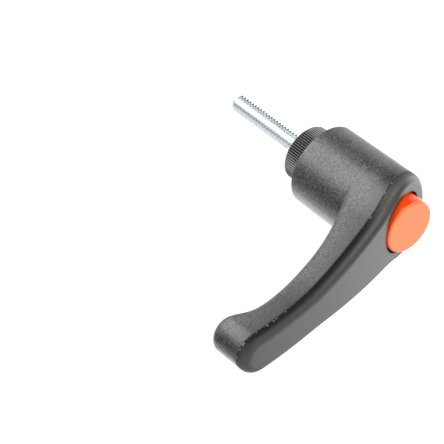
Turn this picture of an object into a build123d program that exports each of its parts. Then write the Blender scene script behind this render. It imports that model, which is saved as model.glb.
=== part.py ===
from build123d import *

import os
from math import cos, pi, sin, tan, radians

# Adjustable clamping lever with a push button, a serrated insert and a threaded stud.
#
# Millimetres. The origin is the centre of the clamping face, on the stud's axis. +Z runs from the stud
# towards the button, and the arm points along +X.

# ---------------------------------------------------------------- driving dimensions

# Threaded stud: steel, thread 10-24, drawn at its major radius.
stud_radius = 2.413
stud_length = 26.6
stud_tip_chamfer = 0.7
clamp_disc_radius = 6.0
clamp_disc_thickness = 1.6
core_across_flats = 8.0

# Serrated insert, moulded round the stud's head.
insert_radius = 7.8
insert_length = 19.1
insert_edge_chamfer = 0.45
serration_count = 72
serration_depth = 0.38
disc_proud = 0.3
moulding_gap = 0.02

# Plan of the lever. Widths and reach are those at the parting line, near the back. The hub is the bore
# and its wall, and the arm's root stays inside the hub.
hub_wall_thickness = 3.6
lever_radius = 61.9
arm_root_inset = 2.85
arm_root_station = 12.0
arm_waist_half_width = 5.95
arm_waist_station = 37.0
waist_blend_radius = 60.0
neck_blend_radius = 22.0
draft_angle = 0.85

# Side profile of the lever: (station along the arm, height above the hub's mouth). The finger stop's
# points keep their distance from the tip.
back_hub_end = (-15.0, 24.6)
back_middle = (24.0, 36.2)
back_tip_end = (lever_radius + 6.1, 37.3)
underside_points = [
    (3.0, 14.0),
    (16.5, 22.4),
    (25.0, 25.5),
    (36.0, 27.5),
    (45.0, 28.3),
    (lever_radius - 11.4, 27.5),
    (lever_radius - 7.4, 25.3),
    (lever_radius - 3.4, 24.4),
    (lever_radius + 2.1, 24.9),
]
parting_height = 28.0

# Sections and edges of the moulding.
wall_thickness = 2.1
back_thickness = 2.6
back_edge_radius = 2.6
rim_edge_radius = 2.6
mouth_edge_radius = 0.4
cavity_corner_radius = 1.5

# Bore of the hub, and how the insert sits in it.
insert_stand_out = 6.9
mouth_recess_step = 0.65
mouth_recess_depth = 1.3
bore_clearance = 0.55
mesh_clearance = 0.1
mesh_length = 4.4
web_seat_gap = 0.05
web_thickness = 2.2
lift_travel = 5.0

# Retaining shoulder screw.
screw_thread_radius = 2.0
screw_thread_length = 8.0
screw_hole_extra_depth = 0.6
shoulder_radius = 3.0
shoulder_clearance = 0.1
shoulder_length = 12.0
screw_head_radius = 4.8
screw_head_height = 2.2
screw_socket_across_flats = 3.0
screw_socket_depth = 1.4

# Return spring.
spring_wire_radius = 0.35
spring_mean_radius = 4.1
spring_turns = 6
spring_wire_sides = 8
spring_end_gap = 0.02

# Push button.
button_hole_step = 0.1
button_clearance = 0.65
button_rim_radius = 0.6
button_wall = 1.5
button_cap_thickness = 2.0
button_seat_inner_radius = 3.4
button_snap_lip = 0.25
button_snap_height = 0.75
button_snap_clearance = 0.05
button_skirt_clearance = 0.6
button_stand_out = 33.0

# Reach of a cutting block past whatever it cuts.
past = 20.0

# ---------------------------------------------------------------- derived places

insert_face_z = disc_proud
insert_top_z = insert_face_z + insert_length
core_top_z = insert_top_z
mouth_z = insert_face_z + insert_stand_out
web_bottom_z = insert_top_z + web_seat_gap
web_top_z = web_bottom_z + web_thickness
mesh_bottom_z = web_bottom_z - mesh_length
screw_head_z = core_top_z + shoulder_length
screw_top_z = screw_head_z + screw_head_height
button_face_z = mouth_z + button_stand_out
button_skirt_z = web_top_z + lift_travel + button_skirt_clearance
button_lip_z = screw_head_z - button_snap_height
main_bore_radius = insert_radius + bore_clearance
mouth_recess_radius = main_bore_radius + mouth_recess_step
button_hole_radius = main_bore_radius - button_hole_step
button_radius = button_hole_radius - button_clearance
serration_root_radius = insert_radius - serration_depth
spring_wire_path_height = screw_head_z - web_top_z - 2 * (spring_wire_radius + spring_end_gap)

# Both outlines of the side view, placed in the lever's frame.
back_points = [(x, mouth_z + height) for x, height in (back_hub_end, back_middle, back_tip_end)]
blank_height = max(height for x, height in (back_hub_end, back_middle, back_tip_end)) + back_edge_radius

# The draft makes the plan smaller at the mouth than at the parting line.
draft_loss = parting_height * tan(radians(draft_angle))
hub_radius = main_bore_radius + hub_wall_thickness
hub_mouth_radius = hub_radius - draft_loss
arm_root_half_width = hub_radius - arm_root_inset
tip_half_width = arm_waist_half_width - draft_loss
flank_slope = (arm_root_half_width - arm_waist_half_width) / (arm_waist_station - arm_root_station)
arm_axis_half_width = arm_root_half_width - draft_loss + flank_slope * arm_root_station
tip_centre_station = lever_radius - draft_loss - tip_half_width

os.makedirs("parts", exist_ok=True)


def serration_points(crest_radius, root_radius):
    """Corners of a ring of straight V-shaped teeth, crest and root in turn."""
    points = []
    for index in range(2 * serration_count):
        angle = pi * index / serration_count
        radius = crest_radius if index % 2 == 0 else root_radius
        points.append((radius * cos(angle), radius * sin(angle)))
    return points


def above_mouth(point):
    """Place a (station, height above the mouth) pair in the side view."""
    station, height = point
    return (station, mouth_z + height)


# ---------------------------------------------------------------- threaded stud

with BuildPart() as threaded_stud:
    with BuildSketch(Plane.XY.offset(-stud_length)):
        Circle(stud_radius)
    extrude(amount=stud_length)
    chamfer(threaded_stud.edges().sort_by(Axis.Z)[0], length=stud_tip_chamfer)
    with BuildSketch(Plane.XY):
        Circle(clamp_disc_radius)
    extrude(amount=clamp_disc_thickness)
    with BuildSketch(Plane.XY.offset(clamp_disc_thickness)):
        RegularPolygon(core_across_flats / 2, 6, major_radius=False)
    extrude(amount=core_top_z - clamp_disc_thickness)
    with BuildSketch(Plane.XY.offset(core_top_z)):
        Circle(screw_thread_radius + moulding_gap)
    extrude(amount=-(screw_thread_length + screw_hole_extra_depth), mode=Mode.SUBTRACT)

# ---------------------------------------------------------------- serrated insert

# A ring of straight teeth, bevelled at both ends, with a pocket for the disc and a hexagon for the core.
with BuildPart() as serrated_insert:
    with BuildSketch(Plane.XY.offset(insert_face_z)):
        with BuildLine():
            Polyline(*serration_points(insert_radius, serration_root_radius), close=True)
        make_face()
    extrude(amount=insert_length)
    with BuildSketch(Plane.XZ):
        with BuildLine():
            Polyline(
                (0, insert_face_z),
                (insert_radius - insert_edge_chamfer, insert_face_z),
                (insert_radius, insert_face_z + insert_edge_chamfer),
                (insert_radius, insert_top_z - insert_edge_chamfer),
                (insert_radius - insert_edge_chamfer, insert_top_z),
                (0, insert_top_z),
                close=True,
            )
        make_face()
    revolve(axis=Axis.Z, mode=Mode.INTERSECT)
    with BuildSketch(Plane.XY.offset(insert_face_z)):
        Circle(clamp_disc_radius + moulding_gap)
    extrude(amount=clamp_disc_thickness + moulding_gap - insert_face_z, mode=Mode.SUBTRACT)
    with BuildSketch(Plane.XY.offset(insert_face_z)):
        RegularPolygon(core_across_flats / 2 + moulding_gap, 6, major_radius=False)
    extrude(amount=insert_length, mode=Mode.SUBTRACT)

# ---------------------------------------------------------------- lever handle: hub and arm

# Plan of the arm at the mouth's level, where the draft makes it smallest: flanks that run in from the hub
# to the waist, then parallel to a round tip.
with BuildSketch(Plane.XY.offset(mouth_z)) as arm_plan:
    with BuildLine():
        Polyline(
            (0, -arm_axis_half_width),
            (arm_waist_station, -tip_half_width),
            (tip_centre_station, -tip_half_width),
            (tip_centre_station, tip_half_width),
            (arm_waist_station, tip_half_width),
            (0, arm_axis_half_width),
            close=True,
        )
    make_face()
    with Locations((tip_centre_station, 0)):
        Circle(tip_half_width)
    fillet(arm_plan.vertices().group_by(Axis.X)[1], waist_blend_radius)

with BuildPart() as hub_blank:
    with BuildSketch(Plane.XY.offset(mouth_z)):
        Circle(hub_mouth_radius)
    extrude(amount=blank_height, taper=-draft_angle)

# The arm's blank carries the neck blends, so that hub and flank meet in one smooth wall. The curved
# underside is cut first, while its rim is still a plain edge to round.
with BuildPart() as arm_blank:
    with BuildSketch(Plane.XY.offset(mouth_z)) as neck_plan:
        add(arm_plan.sketch)
        Circle(hub_mouth_radius)
        neck_corners = neck_plan.vertices().filter_by_position(Axis.X, 0, arm_root_station)
        fillet(neck_corners, neck_blend_radius)
    extrude(amount=blank_height, taper=-draft_angle)
    with BuildSketch(Plane.XZ):
        with BuildLine():
            underside = Spline(*[above_mouth(point) for point in underside_points])
            Polyline(
                underside @ 1,
                (underside_points[-1][0], mouth_z + blank_height),
                (underside_points[0][0], mouth_z + blank_height),
                underside @ 0,
            )
        make_face()
    extrude(amount=past, both=True, mode=Mode.INTERSECT)
    undersides = arm_blank.faces().filter_by(lambda face: face.normal_at().Z < -0.5)
    curved_edges = undersides.edges().filter_by(GeomType.BSPLINE)
    fillet(curved_edges.filter_by(lambda edge: abs(edge.center().Y) > tip_half_width / 2), rim_edge_radius)

# The hollow of the arm follows its plan at one wall thickness, narrows upwards by the draft, stops one
# back's thickness short of the back, and leaves the hub's round wall whole.
with BuildPart() as arm_cavity:
    with BuildSketch(Plane.XY.offset(mouth_z)):
        add(arm_plan.sketch)
        offset(amount=-wall_thickness, mode=Mode.REPLACE)
    extrude(amount=blank_height, taper=draft_angle)
    with BuildSketch(Plane.XZ):
        with BuildLine():
            ceiling = ThreePointArc(*[(x, z - back_thickness) for x, z in back_points])
            Polyline(
                ceiling @ 1,
                (back_points[-1][0], mouth_z - past),
                (back_points[0][0], mouth_z - past),
                ceiling @ 0,
            )
        make_face()
    extrude(amount=past, both=True, mode=Mode.INTERSECT)
    add(hub_blank.part, mode=Mode.SUBTRACT)
    inner_corners = arm_cavity.edges().filter_by(
        lambda edge: edge.length > blank_height / 2 and edge.center().X < arm_root_station
    )
    fillet(inner_corners, cavity_corner_radius)

with BuildPart() as lever_handle:
    add(hub_blank.part)
    add(arm_blank.part)
    with BuildSketch(Plane.XZ):
        with BuildLine():
            back = ThreePointArc(*back_points)
            Polyline(
                back @ 1,
                (back_points[-1][0], mouth_z - past),
                (back_points[0][0], mouth_z - past),
                back @ 0,
            )
        make_face()
    extrude(amount=past, both=True, mode=Mode.INTERSECT)
    back_face = lever_handle.faces().filter_by(GeomType.CYLINDER).sort_by(SortBy.AREA)[-1]
    fillet(back_face.edges(), back_edge_radius)
    mouth_edge = lever_handle.edges().filter_by(GeomType.CIRCLE).sort_by(Axis.Z)[0]
    fillet(mouth_edge, mouth_edge_radius)
    add(arm_cavity.part, mode=Mode.SUBTRACT)

    # The bore from the mouth: a shallow recess, a plain run, then the ring of teeth up to the web.
    with BuildSketch(Plane.XY.offset(mouth_z)):
        Circle(mouth_recess_radius)
    extrude(amount=mouth_recess_depth, mode=Mode.SUBTRACT)
    with BuildSketch(Plane.XY.offset(mouth_z)):
        Circle(main_bore_radius)
    extrude(amount=mesh_bottom_z - mouth_z, mode=Mode.SUBTRACT)
    with BuildSketch(Plane.XY.offset(mesh_bottom_z)):
        with BuildLine():
            Polyline(
                *serration_points(insert_radius + mesh_clearance, serration_root_radius + mesh_clearance),
                close=True,
            )
        make_face()
    extrude(amount=mesh_length, mode=Mode.SUBTRACT)

    # The web, pierced for the shoulder, and the chamber above it that the button slides in.
    with BuildSketch(Plane.XY.offset(web_bottom_z)):
        Circle(shoulder_radius + shoulder_clearance)
    extrude(amount=web_thickness, mode=Mode.SUBTRACT)
    with BuildSketch(Plane.XY.offset(web_top_z)):
        Circle(button_hole_radius)
    extrude(amount=blank_height, mode=Mode.SUBTRACT)

# ---------------------------------------------------------------- retaining screw

with BuildPart() as retaining_screw:
    with BuildSketch(Plane.XY.offset(core_top_z - screw_thread_length)):
        Circle(screw_thread_radius)
    extrude(amount=screw_thread_length)
    with BuildSketch(Plane.XY.offset(core_top_z)):
        Circle(shoulder_radius)
    extrude(amount=shoulder_length)
    with BuildSketch(Plane.XY.offset(screw_head_z)):
        Circle(screw_head_radius)
    extrude(amount=screw_head_height)
    with BuildSketch(Plane.XY.offset(screw_top_z)):
        RegularPolygon(screw_socket_across_flats / 2, 6, major_radius=False)
    extrude(amount=-screw_socket_depth, mode=Mode.SUBTRACT)

# ---------------------------------------------------------------- return spring

# Wire with flats in place of a round, wound from the web up to the underside of the screw's head.
with BuildPart() as return_spring:
    with BuildLine():
        coil = Helix(
            pitch=spring_wire_path_height / spring_turns,
            height=spring_wire_path_height,
            radius=spring_mean_radius,
            center=(0, 0, web_top_z + spring_wire_radius + spring_end_gap),
        )
    with BuildSketch(Plane(origin=coil @ 0, z_dir=coil % 0)):
        RegularPolygon(spring_wire_radius, spring_wire_sides)
    sweep(path=coil, is_frenet=True)

# ---------------------------------------------------------------- push button

# A turned profile: flat cap, sliding skirt, and a lip inside that snaps under the screw's head.
with BuildPart() as push_button:
    with BuildSketch(Plane.XZ):
        with BuildLine():
            Polyline(
                (0, button_face_z),
                (button_radius, button_face_z),
                (button_radius, button_skirt_z),
                (button_radius - button_wall, button_skirt_z),
                (button_radius - button_wall, button_lip_z),
                (screw_head_radius - button_snap_lip, button_lip_z),
                (screw_head_radius - button_snap_lip, screw_head_z - button_snap_clearance),
                (screw_head_radius + button_snap_clearance, screw_head_z - button_snap_clearance),
                (screw_head_radius + button_snap_clearance, screw_top_z),
                (button_seat_inner_radius, screw_top_z),
                (button_seat_inner_radius, button_face_z - button_cap_thickness),
                (0, button_face_z - button_cap_thickness),
                close=True,
            )
        make_face()
    revolve(axis=Axis.Z)
    rim = push_button.edges().filter_by(GeomType.CIRCLE).group_by(Axis.Z)[-1]
    fillet(rim, button_rim_radius)

# ---------------------------------------------------------------- labels and STEP files

finished = {
    "threaded_stud": threaded_stud,
    "serrated_insert": serrated_insert,
    "lever_handle": lever_handle,
    "retaining_screw": retaining_screw,
    "return_spring": return_spring,
    "push_button": push_button,
}
for name, builder in finished.items():
    builder.part.label = name
    export_step(builder.part, f"parts/{name}.step")
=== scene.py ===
"""Looks of the adjustable clamping lever: grained black handle, orange button, toothed insert, plated stud."""

import math

import bmesh
import bpy
import numpy as np
from mathutils import Matrix


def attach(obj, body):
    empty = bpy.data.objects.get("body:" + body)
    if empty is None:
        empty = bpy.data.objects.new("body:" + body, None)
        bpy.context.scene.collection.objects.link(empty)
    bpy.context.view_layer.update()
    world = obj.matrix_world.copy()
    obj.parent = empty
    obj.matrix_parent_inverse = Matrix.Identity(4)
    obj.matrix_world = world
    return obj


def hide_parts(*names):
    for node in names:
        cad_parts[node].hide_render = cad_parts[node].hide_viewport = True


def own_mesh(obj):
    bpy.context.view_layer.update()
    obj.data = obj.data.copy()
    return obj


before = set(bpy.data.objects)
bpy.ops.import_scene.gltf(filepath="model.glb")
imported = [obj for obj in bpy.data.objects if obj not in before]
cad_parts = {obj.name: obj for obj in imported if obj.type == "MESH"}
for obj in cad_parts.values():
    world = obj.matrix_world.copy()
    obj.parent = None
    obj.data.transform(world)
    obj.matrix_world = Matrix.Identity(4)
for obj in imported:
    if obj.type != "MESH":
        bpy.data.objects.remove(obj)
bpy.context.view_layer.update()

# ---------------------------------------------------------------- lever handle
# One injection moulding in black glass-filled plastic: a round hub and an arm that is hollow underneath.
# The mould's flanks are spark-eroded to a fine grain, while the back and its rounded edge are smoother.
# The two halves of the mould part along a line that runs round the hub and the arm just under the back.

parting_line = (-18.537, -1.6634, 0.30119, 0.034299)
flank_colour = (0.006, 0.006, 0.006, 1.0)
flank_fleck = (0.15, 0.15, 0.15, 1.0)
# Painted shade: the flecks take this darker colour next to the parting line.
shaded_seam_side_fleck = (0.05, 0.05, 0.05, 1.0)
back_colour = (0.047, 0.043, 0.037, 1.0)
# Painted shade: the dark band on the back's rounding takes this colour, and so does the dark parting line.
band_shade_and_seam_colour = (0.012, 0.012, 0.012, 1.0)
flash_colour = (0.3, 0.3, 0.29, 1.0)
# Painted shade: the inside of the hollow and of the bore is coloured near black.
hollow_shade_colour = (0.004, 0.004, 0.004, 1.0)

# The grain: its size in metres, the coarse noise's scale and share beside the fine one, the summed noise at
# which a fleck starts and is full, and the share of the relief that the back lacks.
handle_grain = 0.0004
coarse_scale = 0.45
coarse_share = 0.2
fleck_levels = (0.43, 0.79)
grain_lost_on_back = 0.85

# Gloss: roughness of the flanks and what the back and the band of painted shade add, then the shine that is lost on
# the back, in the band and in the parting line.
flank_roughness = 0.34
back_adds_roughness = 0.1
band_adds_roughness = 0.4
shine_lost_on_back = 0.15
shine_lost_in_band = 0.66
shine_lost_in_line = 0.9

# The parting line, with half widths in metres, and its flash: none within flash_free_reach of its station on
# the arm, and whole from flash_full_reach. The dashes are a noise, cut off between two levels.
line_core = 0.00008
line_edge = 0.00022
line_strength = 0.85
flash_free_station = 0.026
flash_free_reach = 0.008
flash_full_reach = 0.022
dash_scale = 1500.0
dash_levels = (0.6, 0.7)
flash_relief = 1.5

# The painted shade on the back's rounding, a dark band, in metres from the parting line: it starts below the line,
# is full just over it and fades higher up. Along the arm it grows from the share it has on the hub, and part is
# lost at the tip.
edge_band_below = 0.0009
edge_band_full = 0.0001
edge_band_fading = 0.0006
edge_band = 0.0024
band_start = 0.002
band_full = 0.016
band_on_hub = 0.28
band_lost_at_tip = 0.65
tip_turn_start = 0.001
tip_turn_end = 0.0055
flank_depth = 0.007

# The painted shade inside, coloured near black, with sizes in metres: the arm's half width as it tapers from the
# hub to the waist, how far within it the hollow's walls end, and where the hollow stops below the back, at the hub
# and round the bore. flank_taper is a slope and no length.
taper_start = 0.012
arm_half_width = 0.0091
waist_half_width = 0.00595
tip_centre = 0.0559
flank_taper = -0.126
wall_line = 0.0024
wall_softness = 0.0003
ceiling_line = 0.001
hub_side_line = 0.009
hollow_mouth_heights = (0.0266, 0.0278)
hub_front_stations = (0.0125, 0.0135)
bore_line = 0.0089


def new_material(name):
    """An empty material with a Principled shader; returns the material, its nodes, links and shader."""
    material = bpy.data.materials.new(name)
    material.use_nodes = True
    nodes = material.node_tree.nodes
    links = material.node_tree.links
    nodes.clear()
    output = nodes.new("ShaderNodeOutputMaterial")
    shader = nodes.new("ShaderNodeBsdfPrincipled")
    links.new(shader.outputs["BSDF"], output.inputs["Surface"])
    return material, nodes, links, shader


def math_node(nodes, links, operation, *values, clamp=False):
    """One Math node; each value is a number or another node's output."""
    node = nodes.new("ShaderNodeMath")
    node.operation = operation
    node.use_clamp = clamp
    for socket, value in zip(node.inputs, values):
        if isinstance(value, bpy.types.NodeSocket):
            links.new(value, socket)
        else:
            socket.default_value = value
    return node.outputs[0]


def ramp_between(nodes, links, value, low, high):
    """0 where value is at or under low, 1 at or over high, smooth between."""
    node = nodes.new("ShaderNodeMapRange")
    node.interpolation_type = "SMOOTHSTEP"
    links.new(value, node.inputs["Value"])
    node.inputs["From Min"].default_value = low
    node.inputs["From Max"].default_value = high
    return node.outputs["Result"]


def mix_colours(nodes, links, factor, first, second):
    """First colour where factor is 0, second where it is 1."""
    node = nodes.new("ShaderNodeMix")
    node.data_type = "RGBA"
    for socket, value in ((node.inputs[0], factor), (node.inputs[6], first), (node.inputs[7], second)):
        if isinstance(value, bpy.types.NodeSocket):
            links.new(value, socket)
        else:
            socket.default_value = value
    return node.outputs[2]


def object_axes(nodes, links):
    """The piece's own coordinates: the three together, then X, Y and Z by themselves."""
    place = nodes.new("ShaderNodeTexCoord").outputs["Object"]
    axes = nodes.new("ShaderNodeSeparateXYZ")
    links.new(place, axes.inputs["Vector"])
    return place, axes.outputs["X"], axes.outputs["Y"], axes.outputs["Z"]


def length_of(nodes, links, first, second):
    """Length of two sides at right angles: the square root of the sum of their squares."""
    return math_node(nodes, links, "SQRT", math_node(
        nodes, links, "ADD", math_node(nodes, links, "MULTIPLY", first, first),
        math_node(nodes, links, "MULTIPLY", second, second)))


def add_bump(nodes, links, shader, height, strength, distance):
    """Tilts the surface's normal by the slope of that height; distance is in metres."""
    bump = nodes.new("ShaderNodeBump")
    bump.inputs["Strength"].default_value = strength
    bump.inputs["Distance"].default_value = distance
    links.new(height, bump.inputs["Height"])
    links.new(bump.outputs["Normal"], shader.inputs["Normal"])


def build_grain_group():
    """Fine moulded grain: height = fine noise + coarse_share x coarse noise, and a fleck mask from 0 to 1."""
    group = bpy.data.node_groups.new("moulded grain", "ShaderNodeTree")
    group.interface.new_socket("Grain Size", in_out="INPUT", socket_type="NodeSocketFloat")
    group.interface.new_socket("Height", in_out="OUTPUT", socket_type="NodeSocketFloat")
    group.interface.new_socket("Fleck", in_out="OUTPUT", socket_type="NodeSocketFloat")
    nodes = group.nodes
    links = group.links
    entry = nodes.new("NodeGroupInput")
    leave = nodes.new("NodeGroupOutput")
    place = nodes.new("ShaderNodeTexCoord")
    scale = math_node(nodes, links, "DIVIDE", 1.0, entry.outputs["Grain Size"])
    fine = nodes.new("ShaderNodeTexNoise")
    fine.inputs["Detail"].default_value = 3.0
    fine.inputs["Roughness"].default_value = 0.7
    links.new(place.outputs["Object"], fine.inputs["Vector"])
    links.new(scale, fine.inputs["Scale"])
    coarse = nodes.new("ShaderNodeTexNoise")
    coarse.inputs["Detail"].default_value = 1.0
    links.new(place.outputs["Object"], coarse.inputs["Vector"])
    links.new(math_node(nodes, links, "MULTIPLY", scale, coarse_scale), coarse.inputs["Scale"])
    both = math_node(nodes, links, "MULTIPLY_ADD", coarse.outputs["Fac"], coarse_share, fine.outputs["Fac"])
    links.new(both, leave.inputs["Height"])
    links.new(ramp_between(nodes, links, both, *fleck_levels), leave.inputs["Fleck"])
    return group


grain_group = build_grain_group()


def add_grain(nodes, size):
    """The grain group placed in a material, with its own size in metres."""
    node = nodes.new("ShaderNodeGroup")
    node.node_tree = grain_group
    node.inputs["Grain Size"].default_value = size
    return node


handle_plastic, nodes, links, shader = new_material("handle plastic")
place, station, across, height = object_axes(nodes, links)

# Height of the parting line: a cubic in the distance along the arm.
line_height = parting_line[0]
for coefficient in parting_line[1:]:
    line_height = math_node(nodes, links, "MULTIPLY_ADD", station, line_height, coefficient)
above_line = math_node(nodes, links, "SUBTRACT", height, line_height)
on_back = ramp_between(nodes, links, above_line, -line_core, line_core)
past_band = ramp_between(nodes, links, above_line, edge_band_fading, edge_band)
short_of_band = ramp_between(nodes, links, above_line, -edge_band_below, edge_band_full)
# Painted shade: the band on the back's rounding that is coloured dark.
in_band = math_node(nodes, links, "MULTIPLY", short_of_band, math_node(nodes, links, "SUBTRACT", 1.0, past_band))
along_arm = ramp_between(nodes, links, station, band_start, band_full)
in_band = math_node(nodes, links, "MULTIPLY", in_band, math_node(
    nodes, links, "MULTIPLY_ADD", along_arm, 1.0 - band_on_hub, band_on_hub))
round_tip = ramp_between(nodes, links, station, tip_centre + tip_turn_start, tip_centre + tip_turn_end)
in_band = math_node(nodes, links, "MULTIPLY", in_band, math_node(
    nodes, links, "MULTIPLY_ADD", round_tip, -band_lost_at_tip, 1.0))
below_line = math_node(nodes, links, "MULTIPLY", above_line, -1.0)
toward_rim = math_node(nodes, links, "MAXIMUM", ramp_between(nodes, links, below_line, 0.0, flank_depth), round_tip)
from_line = math_node(nodes, links, "ABSOLUTE", above_line)
near_line = math_node(nodes, links, "SUBTRACT", 1.0, ramp_between(nodes, links, from_line, line_core, line_edge))

# Painted shade inside the arm's hollow and the hub's bore: within the walls, and under the back.
taper = math_node(nodes, links, "MULTIPLY_ADD", math_node(nodes, links, "SUBTRACT", station, taper_start),
                  flank_taper, arm_half_width)
half_width = math_node(nodes, links, "MAXIMUM", taper, waist_half_width)
past_centre = math_node(nodes, links, "MAXIMUM", math_node(nodes, links, "SUBTRACT", station, tip_centre), 0.0)
from_middle = length_of(nodes, links, past_centre, across)
from_wall = math_node(nodes, links, "SUBTRACT", half_width, from_middle)
inside_walls = ramp_between(nodes, links, from_wall, wall_line - wall_softness, wall_line)
under_back = math_node(nodes, links, "LESS_THAN", above_line, ceiling_line)
past_hub = math_node(nodes, links, "GREATER_THAN", station, hub_side_line)
past_hub = math_node(nodes, links, "MULTIPLY", past_hub, math_node(
    nodes, links, "MAXIMUM", ramp_between(nodes, links, height, *hollow_mouth_heights),
    ramp_between(nodes, links, station, *hub_front_stations)))
in_bore = math_node(nodes, links, "LESS_THAN", length_of(nodes, links, station, across), bore_line)
in_hollow_shade = math_node(nodes, links, "MULTIPLY", inside_walls, past_hub)
in_hollow_shade = math_node(nodes, links, "MULTIPLY", in_hollow_shade, under_back)
in_hollow_shade = math_node(nodes, links, "MAXIMUM", in_hollow_shade, in_bore)

grain = add_grain(nodes, handle_grain)
# Painted shade: the flecks are darker near the parting line and lighter towards the rim and round the tip.
fleck = mix_colours(nodes, links, toward_rim, shaded_seam_side_fleck, flank_fleck)
flank = mix_colours(nodes, links, grain.outputs["Fleck"], flank_colour, fleck)
colour = mix_colours(nodes, links, on_back, flank, back_colour)
# Painted shade: the band on the back's rounding is coloured dark.
colour = mix_colours(nodes, links, in_band, colour, band_shade_and_seam_colour)
in_line = math_node(nodes, links, "MULTIPLY", near_line, line_strength)
colour = mix_colours(nodes, links, in_line, colour, band_shade_and_seam_colour)
dashes = nodes.new("ShaderNodeTexNoise")
dashes.inputs["Scale"].default_value = dash_scale
dashes.inputs["Detail"].default_value = 0.0
links.new(place, dashes.inputs["Vector"])
from_waist = math_node(nodes, links, "ABSOLUTE", math_node(nodes, links, "SUBTRACT", station, flash_free_station))
line_ends = ramp_between(nodes, links, from_waist, flash_free_reach, flash_full_reach)
flash = math_node(nodes, links, "MULTIPLY", near_line, ramp_between(
    nodes, links, dashes.outputs["Fac"], *dash_levels))
flash = math_node(nodes, links, "MULTIPLY", flash, line_ends)
colour = mix_colours(nodes, links, flash, colour, flash_colour)
# Painted shade: the hollow and the bore are coloured near black.
colour = mix_colours(nodes, links, in_hollow_shade, colour, hollow_shade_colour)
links.new(colour, shader.inputs["Base Color"])
gloss = math_node(nodes, links, "MULTIPLY_ADD", on_back, back_adds_roughness, flank_roughness)
gloss = math_node(nodes, links, "MULTIPLY_ADD", in_band, band_adds_roughness, gloss)
links.new(gloss, shader.inputs["Roughness"])
shine = math_node(nodes, links, "MULTIPLY_ADD", on_back, -shine_lost_on_back, 1.0)
shine = math_node(nodes, links, "MULTIPLY_ADD", in_band, -shine_lost_in_band, shine)
shine = math_node(nodes, links, "MULTIPLY_ADD", in_line, -shine_lost_in_line, shine, clamp=True)
links.new(shine, shader.inputs["Specular IOR Level"])

# The grain nearly stops above the parting line, along which the flash stands up in broken dashes.
relief = math_node(nodes, links, "MULTIPLY", grain.outputs["Height"],
                   math_node(nodes, links, "MULTIPLY_ADD", on_back, -grain_lost_on_back, 1.0))
relief = math_node(nodes, links, "MULTIPLY_ADD", flash, flash_relief, relief)
add_bump(nodes, links, shader, relief, strength=0.5, distance=0.00012)


def dress_cad_node(name, material):
    """Gives a CAD node its material and leaves its mesh as it is."""
    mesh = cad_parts[name].data
    mesh.materials.clear()
    mesh.materials.append(material)


dress_cad_node("lever_handle", handle_plastic)

# ---------------------------------------------------------------- push button
# A glossy cap in orange plastic, which slides in the hub's top hole. Its flat face is painted lighter than its wall
# and the whole cap glows a little, both as painted light. It snaps over the head of the retaining screw, so it
# stays still while the handle lifts round it.

button_colour = (1.0, 0.07, 0.002, 1.0)
# Painted light: the flat face is coloured lighter and paler than the wall.
button_face_lit_colour = (1.0, 0.25, 0.065, 1.0)
# Painted light: a faint orange glow over the whole cap, which is no lamp.
button_glow_colour = (1.0, 0.08, 0.0, 1.0)
button_glow_level = 0.18
button_rim_start = 0.0006
button_rim_end = 0.0002
button_grain = 0.0009

button_plastic, nodes, links, shader = new_material("button plastic")
height = object_axes(nodes, links)[3]
button_top = max(corner.co.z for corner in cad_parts["push_button"].data.vertices)
at_face = ramp_between(nodes, links, height, button_top - button_rim_start, button_top - button_rim_end)
# Painted light: the flat face is coloured lighter than the wall.
links.new(mix_colours(nodes, links, at_face, button_colour, button_face_lit_colour), shader.inputs["Base Color"])
shader.inputs["Roughness"].default_value = 0.2
# Painted light: the cap glows a little.
shader.inputs["Emission Color"].default_value = button_glow_colour
shader.inputs["Emission Strength"].default_value = button_glow_level
add_bump(nodes, links, shader, add_grain(nodes, button_grain).outputs["Height"], strength=0.05, distance=0.00005)
dress_cad_node("push_button", button_plastic)

# ---------------------------------------------------------------- serrated insert
# A black plastic sleeve moulded on the stud's hexagon, with fine straight teeth that mesh in the handle.
# The teeth are in the solid, and along their crests the material paints a lighter colour, a painted highlight.

insert_colour = (0.008, 0.008, 0.008, 1.0)
# Painted highlight: the colour of the tooth crests.
insert_crest_highlight = (0.42, 0.415, 0.405, 1.0)
insert_face = (0.06, 0.058, 0.055, 1.0)
crest_radii = (0.00767, 0.00778)
end_face_heights = (0.00055, 0.0008)
insert_grain = 0.0003

insert_plastic, nodes, links, shader = new_material("insert plastic")
across, aside, height = object_axes(nodes, links)[1:]
crest = ramp_between(nodes, links, length_of(nodes, links, across, aside), *crest_radii)
at_face = math_node(nodes, links, "SUBTRACT", 1.0, ramp_between(nodes, links, height, *end_face_heights))
# Painted highlight: the crests are coloured lighter than the black plastic.
colour = mix_colours(nodes, links, crest, insert_colour, insert_crest_highlight)
colour = mix_colours(nodes, links, at_face, colour, insert_face)
links.new(colour, shader.inputs["Base Color"])
shader.inputs["Roughness"].default_value = 0.32
shader.inputs["Specular IOR Level"].default_value = 0.6
add_bump(nodes, links, shader, add_grain(nodes, insert_grain).outputs["Height"], strength=0.2, distance=0.00008)
dress_cad_node("serrated_insert", insert_plastic)

# ---------------------------------------------------------------- threaded stud
# A steel stud with a rolled 24-to-the-inch thread, headed to a disc and a hexagon, bright zinc plated.
# The solid has a plain cylinder, which the thread here replaces, with a chamfered, cupped tip and a short neck.

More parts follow.
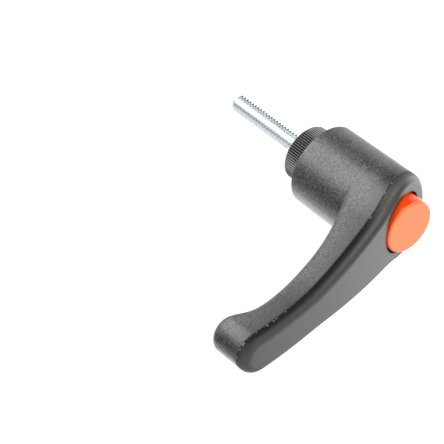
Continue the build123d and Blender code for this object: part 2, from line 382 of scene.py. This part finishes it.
# Forms, in millimetres. The thread's half flats are in pitches, and the cup's shoulder is a share of its radius
# and of its depth.
stud_radius = 2.413
stud_length = 26.6
thread_pitch = 25.4 / 24
thread_depth = 0.6134 * thread_pitch
crest_half_flat = 1 / 16
root_half_flat = 1 / 8
rows_per_turn = 10
shank_columns = 64
shank_top = 0.2
tip_chamfer = 0.7
neck_length = 0.55
neck_runout = 0.3
tip_cup_radius = 1.15
tip_cup_depth = 0.55
cup_shoulder = (0.6, 0.35)
tip_row_gap = 0.02
disc_radius = 6.0
disc_thickness = 1.6
disc_bevel = 0.15
core_across_flats = 8.0
core_top = 19.4
core_hole_radius = 2.02
core_hole_bottom = 10.8
head_columns = 96

# Plating: a faint cloud between two tints, and painted shade in the thread's grooves, by radius and by height
# in metres.
plating_colour = (0.86, 0.94, 0.98, 1.0)
plating_tint = (0.94, 0.98, 1.0, 1.0)
plating_shadow = (0.82, 0.9, 0.95, 1.0)
cloud_levels = (0.35, 0.65)
groove_radii = (0.00185, 0.00225)
shank_start = -0.0001


def ring_quads(rows, columns):
    """Four corners for each face between neighbouring rings; corner (row, column) is row x columns + column,
    and the last column of a ring meets its first."""
    row, column = np.meshgrid(np.arange(rows - 1), np.arange(columns), indexing="ij")
    following = (column + 1) % columns
    return np.stack(
        [row * columns + column, row * columns + following,
         (row + 1) * columns + following, (row + 1) * columns + column], axis=-1
    ).reshape(-1, 4)


def turned_piece(name, heights, radii, material):
    """A surface swept round Z: point (row, column) lies at angle 2 pi column / columns, at that row's height
    and that row and column's radius. A row whose radius is zero closes to one point. Sizes in millimetres."""
    rows, columns = radii.shape
    angle = 2 * np.pi * np.arange(columns) / columns
    points = np.stack(
        [radii * np.cos(angle), radii * np.sin(angle), np.broadcast_to(heights[:, None], radii.shape)], axis=-1
    ).reshape(-1, 3) / 1000.0
    mesh = bpy.data.meshes.new(name)
    mesh.from_pydata(points, [], ring_quads(rows, columns))
    return finished_piece(name, mesh, material, sharp_degrees=30.0)


def finished_piece(name, mesh, material, sharp_degrees):
    """Merges doubled points, turns every face outwards and marks edges over the angle as sharp."""
    shell = bmesh.new()
    shell.from_mesh(mesh)
    bmesh.ops.remove_doubles(shell, verts=shell.verts, dist=1e-7)
    bmesh.ops.dissolve_degenerate(shell, edges=shell.edges, dist=1e-8)
    bmesh.ops.recalc_face_normals(shell, faces=shell.faces)
    shell.to_mesh(mesh)
    shell.free()
    mesh.polygons.foreach_set("use_smooth", np.ones(len(mesh.polygons), bool))
    mesh.set_sharp_from_angle(angle=math.radians(sharp_degrees))
    mesh.materials.append(material)
    piece = bpy.data.objects.new(name, mesh)
    bpy.context.scene.collection.objects.link(piece)
    return piece


plated_steel, nodes, links, shader = new_material("plated steel")
place, across, aside, height = object_axes(nodes, links)
cloud = nodes.new("ShaderNodeTexNoise")
cloud.inputs["Scale"].default_value = 420.0
cloud.inputs["Detail"].default_value = 3.0
links.new(place, cloud.inputs["Vector"])
colour = mix_colours(nodes, links, ramp_between(nodes, links, cloud.outputs["Fac"], *cloud_levels),
                     plating_colour, plating_tint)
from_axis = length_of(nodes, links, across, aside)
in_groove = math_node(nodes, links, "SUBTRACT", 1.0, ramp_between(nodes, links, from_axis, *groove_radii))
on_shank = math_node(nodes, links, "LESS_THAN", height, shank_start)
colour = mix_colours(nodes, links, math_node(nodes, links, "MULTIPLY", in_groove, on_shank), colour, plating_shadow)
links.new(colour, shader.inputs["Base Color"])
shader.inputs["Metallic"].default_value = 0.75
shader.inputs["Roughness"].default_value = 0.15

# Shank: crest radius less a groove that follows the helix, capped by the chamfer and by the neck.
shank_heights = np.arange(shank_top, -stud_length, -thread_pitch / rows_per_turn)
shank_heights = np.append(shank_heights[shank_heights > -stud_length + tip_row_gap], -stud_length)
shank_angle = np.arange(shank_columns) / shank_columns
turn = shank_heights[:, None] / thread_pitch - shank_angle
from_crest = np.abs((turn + 0.5) % 1.0 - 0.5)
groove = np.clip((from_crest - crest_half_flat) / (0.5 - crest_half_flat - root_half_flat), 0, 1)
shank_radii = stud_radius - thread_depth * groove
chamfer_limit = stud_radius - tip_chamfer + (shank_heights + stud_length)
shank_radii = np.minimum(shank_radii, chamfer_limit[:, None])
neck_blend = np.clip((shank_heights + neck_length) / neck_runout + 1, 0, 1)[:, None]
shank_radii = shank_radii * (1 - neck_blend) + np.minimum(shank_radii, stud_radius - thread_depth) * neck_blend
cap_heights = np.array([0, cup_shoulder[1], 1]) * tip_cup_depth - stud_length
cap_radii = np.array([1, cup_shoulder[0], 0])[:, None] * tip_cup_radius * np.ones((1, shank_columns))
shank_heights = np.concatenate([[shank_top], shank_heights, cap_heights])
shank_radii = np.concatenate([np.zeros((1, shank_columns)), shank_radii, cap_radii])
stud_thread = turned_piece("stud_thread", shank_heights, shank_radii, plated_steel)
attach(stud_thread, "stud_group")
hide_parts("threaded_stud")

# Head: the bevelled disc, then the hexagon with its tapped hole, in one turned and milled form.
head_angle = 2 * np.pi * np.arange(head_columns) / head_columns
hexagon = core_across_flats / 2 / np.cos((head_angle + np.pi / 6) % (np.pi / 3) - np.pi / 6)
whole_ring = np.ones((1, head_columns))
round_radii = np.array([0, disc_radius - disc_bevel, disc_radius, disc_radius])[:, None] * whole_ring
hole_radii = np.array([core_hole_radius, core_hole_radius, 0])[:, None] * whole_ring
head_radii = np.concatenate([round_radii, hexagon[None], hexagon[None], hole_radii])
head_heights = np.array([0, 0, disc_bevel, disc_thickness, disc_thickness, core_top,
                         core_top, core_hole_bottom, core_hole_bottom])
stud_head = turned_piece("stud_head", head_heights, head_radii, plated_steel)
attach(stud_head, "stud_group")
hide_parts("threaded_stud")

# ---------------------------------------------------------------- retaining screw
# A shoulder screw in plain machined steel, screwed into the stud's head. Its own head holds the button and
# the spring, and its shoulder passes through the web of the hub.

screw_steel, nodes, links, shader = new_material("screw steel")
shader.inputs["Base Color"].default_value = (0.5, 0.5, 0.51, 1.0)
shader.inputs["Metallic"].default_value = 1.0
shader.inputs["Roughness"].default_value = 0.35
dress_cad_node("retaining_screw", screw_steel)

# ---------------------------------------------------------------- return spring
# Drawn steel wire wound round the screw's shoulder, between its head and the web inside the hub.
# Its end turns lie close. On the lever the top end stays under the head while the handle lifts and closes the
# coils; here the wire is one rigid piece.

wire_radius = 0.35
coil_radius = 4.1
coil_bottom = 22.02
coil_top = 31.03
coil_turns = 6
wire_rows = 300
wire_columns = 12
end_turn_share = 0.06
end_turn_rise = 0.06

spring_steel, nodes, links, shader = new_material("spring steel")
shader.inputs["Base Color"].default_value = (0.46, 0.46, 0.47, 1.0)
shader.inputs["Metallic"].default_value = 1.0
shader.inputs["Roughness"].default_value = 0.3

# A tube along a helix that hardly rises over the end turns and evenly between: row by row it follows the
# wire, column by column it goes round it. Both ends close to one point.
along = np.linspace(0, 1, wire_rows)
eased = np.clip((along - end_turn_share) / (1 - 2 * end_turn_share), 0, 1)
rise = end_turn_rise * along + (1 - end_turn_rise) * eased
wound = 2 * np.pi * coil_turns * along
outward = np.stack([np.cos(wound), np.sin(wound), np.zeros_like(along)], axis=-1)
upward = np.array([0.0, 0.0, 1.0])
path = coil_radius * outward + (coil_bottom + (coil_top - coil_bottom) * rise)[:, None] * upward
around = 2 * np.pi * np.arange(wire_columns) / wire_columns
tube = (path[:, None] + wire_radius * (np.cos(around)[None, :, None] * outward[:, None]
                                       + np.sin(around)[None, :, None] * upward))
tube = np.concatenate([np.repeat(path[:1, None], wire_columns, axis=1), tube,
                       np.repeat(path[-1:, None], wire_columns, axis=1)])
spring_mesh = bpy.data.meshes.new("return_spring_wire")
spring_mesh.from_pydata(tube.reshape(-1, 3) / 1000.0, [], ring_quads(len(tube), wire_columns))
spring_wire = finished_piece("return_spring_wire", spring_mesh, spring_steel, sharp_degrees=50.0)
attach(spring_wire, "spring_carrier")
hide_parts("return_spring")
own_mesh(spring_wire)

# ---------------------------------------------------------------- floor
# A wide floor painted matt white, well below the stud. Mirrored rays meet the studio's level on it in place of
# the paint, and seen from below it lets the view through.

floor_height = -0.34
floor_half_size = 12.0
floor_white = (0.85, 0.85, 0.85, 1.0)
floor_lift = 0.5

# What hangs round the studio, for mirrored rays alone: the direction it hangs in, the cosines where its
# soft edge starts and ends, and its level, which is 0 on a black flag and over 1 on a white card.
flags = (
    ((-0.577, -0.598, -0.556), 0.895, 0.96, 0.0),
    ((0.84, 0.0, -0.545), 0.85, 0.95, 0.0),
    ((-0.818, 0.1, 0.567), 0.86, 0.96, 0.0),
    ((0.472, -0.675, 0.567), 0.84, 0.95, 0.0),
    ((-0.92, 0.32, 0.2), 0.8, 0.95, 3.6),
)


def build_flag_group():
    """The level that a mirrored ray meets in a direction: 1 all round, times each flag's or card's own level
    where it hangs."""
    group = bpy.data.node_groups.new("flags and cards", "ShaderNodeTree")
    group.interface.new_socket("Direction", in_out="INPUT", socket_type="NodeSocketVector")
    group.interface.new_socket("Level", in_out="OUTPUT", socket_type="NodeSocketFloat")
    nodes = group.nodes
    links = group.links
    entry = nodes.new("NodeGroupInput")
    leave = nodes.new("NodeGroupOutput")
    unit = nodes.new("ShaderNodeVectorMath")
    unit.operation = "NORMALIZE"
    links.new(entry.outputs["Direction"], unit.inputs[0])
    level = 1.0
    for direction, edge, core, core_level in flags:
        facing = nodes.new("ShaderNodeVectorMath")
        facing.operation = "DOT_PRODUCT"
        links.new(unit.outputs["Vector"], facing.inputs[0])
        facing.inputs[1].default_value = direction
        held_back = ramp_between(nodes, links, facing.outputs["Value"], edge, core)
        level = math_node(nodes, links, "MULTIPLY", level, math_node(
            nodes, links, "MULTIPLY_ADD", held_back, core_level - 1.0, 1.0))
    links.new(level, leave.inputs["Level"])
    return group


flag_group = build_flag_group()

floor_mesh = bpy.data.meshes.new("floor")
corners = np.array([[-1, -1, 0], [1, -1, 0], [1, 1, 0], [-1, 1, 0]]) * floor_half_size
corners[:, 2] = floor_height
floor_mesh.from_pydata(corners, [], [[0, 1, 2, 3]])
floor = bpy.data.objects.new("floor", floor_mesh)
bpy.context.scene.collection.objects.link(floor)

floor_paint = bpy.data.materials.new("floor paint")
floor_paint.use_nodes = True
nodes = floor_paint.node_tree.nodes
links = floor_paint.node_tree.links
nodes.clear()
output = nodes.new("ShaderNodeOutputMaterial")
ray = nodes.new("ShaderNodeLightPath")
matt = nodes.new("ShaderNodeBsdfDiffuse")
matt.inputs["Color"].default_value = floor_white
glow = nodes.new("ShaderNodeEmission")
links.new(math_node(nodes, links, "MULTIPLY", ray.outputs["Is Camera Ray"], floor_lift), glow.inputs["Strength"])
lit = nodes.new("ShaderNodeAddShader")
links.new(matt.outputs[0], lit.inputs[0])
links.new(glow.outputs[0], lit.inputs[1])
ground = nodes.new("ShaderNodeNewGeometry")
mirror_level = nodes.new("ShaderNodeGroup")
mirror_level.node_tree = flag_group
links.new(ground.outputs["Position"], mirror_level.inputs["Direction"])
mirror = nodes.new("ShaderNodeEmission")
links.new(mirror_level.outputs["Level"], mirror.inputs["Strength"])
paint = nodes.new("ShaderNodeMixShader")
links.new(math_node(nodes, links, "MAXIMUM", ray.outputs["Is Glossy Ray"], ray.outputs["Is Transmission Ray"]),
          paint.inputs[0])
links.new(lit.outputs[0], paint.inputs[1])
links.new(mirror.outputs[0], paint.inputs[2])
clear = nodes.new("ShaderNodeBsdfTransparent")
side = nodes.new("ShaderNodeNewGeometry")
sheet = nodes.new("ShaderNodeMixShader")
links.new(side.outputs["Backfacing"], sheet.inputs[0])
links.new(paint.outputs[0], sheet.inputs[1])
links.new(clear.outputs[0], sheet.inputs[2])
links.new(sheet.outputs[0], output.inputs["Surface"])
floor_mesh.materials.append(floor_paint)

# ---------------------------------------------------------------- light
# A white studio all round, held back by the flags in all that is mirrored, and four soft boxes that shape
# the flanks, the back and the hub. No lamp shows itself to the camera.

studio_level = 0.9
studio_grey = (0.8, 0.8, 0.8, 1.0)
lit_point = np.array([0.022, 0.0, 0.02])

world = bpy.data.worlds.new("studio")
bpy.context.scene.world = world
world.use_nodes = True
nodes = world.node_tree.nodes
links = world.node_tree.links
nodes.clear()
output = nodes.new("ShaderNodeOutputWorld")
around_us = nodes.new("ShaderNodeBackground")
behind = nodes.new("ShaderNodeBackground")
around_us.inputs["Color"].default_value = studio_grey
behind.inputs["Color"].default_value = (1.0, 1.0, 1.0, 1.0)
behind.inputs["Strength"].default_value = 1.0
place = nodes.new("ShaderNodeTexCoord")
mirror_level = nodes.new("ShaderNodeGroup")
mirror_level.node_tree = flag_group
links.new(place.outputs["Generated"], mirror_level.inputs["Direction"])
ray = nodes.new("ShaderNodeLightPath")
mirrored = math_node(nodes, links, "MAXIMUM", ray.outputs["Is Glossy Ray"], ray.outputs["Is Transmission Ray"])
level = math_node(nodes, links, "MULTIPLY_ADD", mirrored, math_node(
    nodes, links, "SUBTRACT", mirror_level.outputs["Level"], studio_level), studio_level)
links.new(level, around_us.inputs["Strength"])
pick = nodes.new("ShaderNodeMixShader")
links.new(ray.outputs["Is Camera Ray"], pick.inputs[0])
links.new(around_us.outputs[0], pick.inputs[1])
links.new(behind.outputs[0], pick.inputs[2])
links.new(pick.outputs[0], output.inputs["Surface"])


def soft_box(name, direction, distance, size, strength):
    """A flat area lamp that looks at the handle from that direction; size is its width and height."""
    lamp = bpy.data.lights.new(name, "AREA")
    lamp.shape = "RECTANGLE"
    lamp.size, lamp.size_y = size
    lamp.energy = strength
    box = bpy.data.objects.new(name, lamp)
    back = np.array(direction) / np.linalg.norm(direction)
    side = np.cross([0.0, 0.0, 1.0], back)
    side /= np.linalg.norm(side)
    top = np.cross(back, side)
    turned = Matrix([[side[i], top[i], back[i], 0] for i in range(3)] + [[0, 0, 0, 1]])
    centre = lit_point + back * distance
    box.matrix_world = Matrix.Translation(centre) @ turned
    box.visible_camera = False
    bpy.context.scene.collection.objects.link(box)


soft_box("soft box behind the back", (-0.52, 0.62, 0.58), 0.35, (0.25, 0.38), 0.27)
soft_box("soft box over the flank", (0.22, -0.8, -0.556), 0.35, (0.4, 0.28), 0.68)
soft_box("soft box at the far side", (-0.2, 0.8, -0.556), 0.35, (0.5, 0.24), 0.5)
soft_box("soft box over the hub", (-0.38, -0.84, 0.4), 0.35, (0.3, 0.12), 0.3)

# ---------------------------------------------------------------- camera
# A long lens that looks at the button and one flank, turned so that the stud points up and away to the left and
# the arm comes down to the front. Its directions and its place, in metres, are in the lever's own frame.

camera_right = (-0.74262, 0.090821, 0.663526)
camera_up = (-0.530913, -0.683755, -0.500609)
camera_back = (0.408224, -0.724037, 0.555989)
camera_place = (0.47774, -0.79035, 0.61015)

camera_data = bpy.data.cameras.new("camera")
camera_data.sensor_width = 36.0
camera_data.lens = 341.35
camera_data.clip_start = 0.05
camera_data.clip_end = 60.0
camera = bpy.data.objects.new("camera", camera_data)
camera.matrix_world = Matrix([[camera_right[i], camera_up[i], camera_back[i], camera_place[i]] for i in range(3)]
                             + [[0, 0, 0, 1]])
bpy.context.scene.collection.objects.link(camera)
bpy.context.scene.camera = camera
bpy.context.scene.view_settings.view_transform = "Standard"
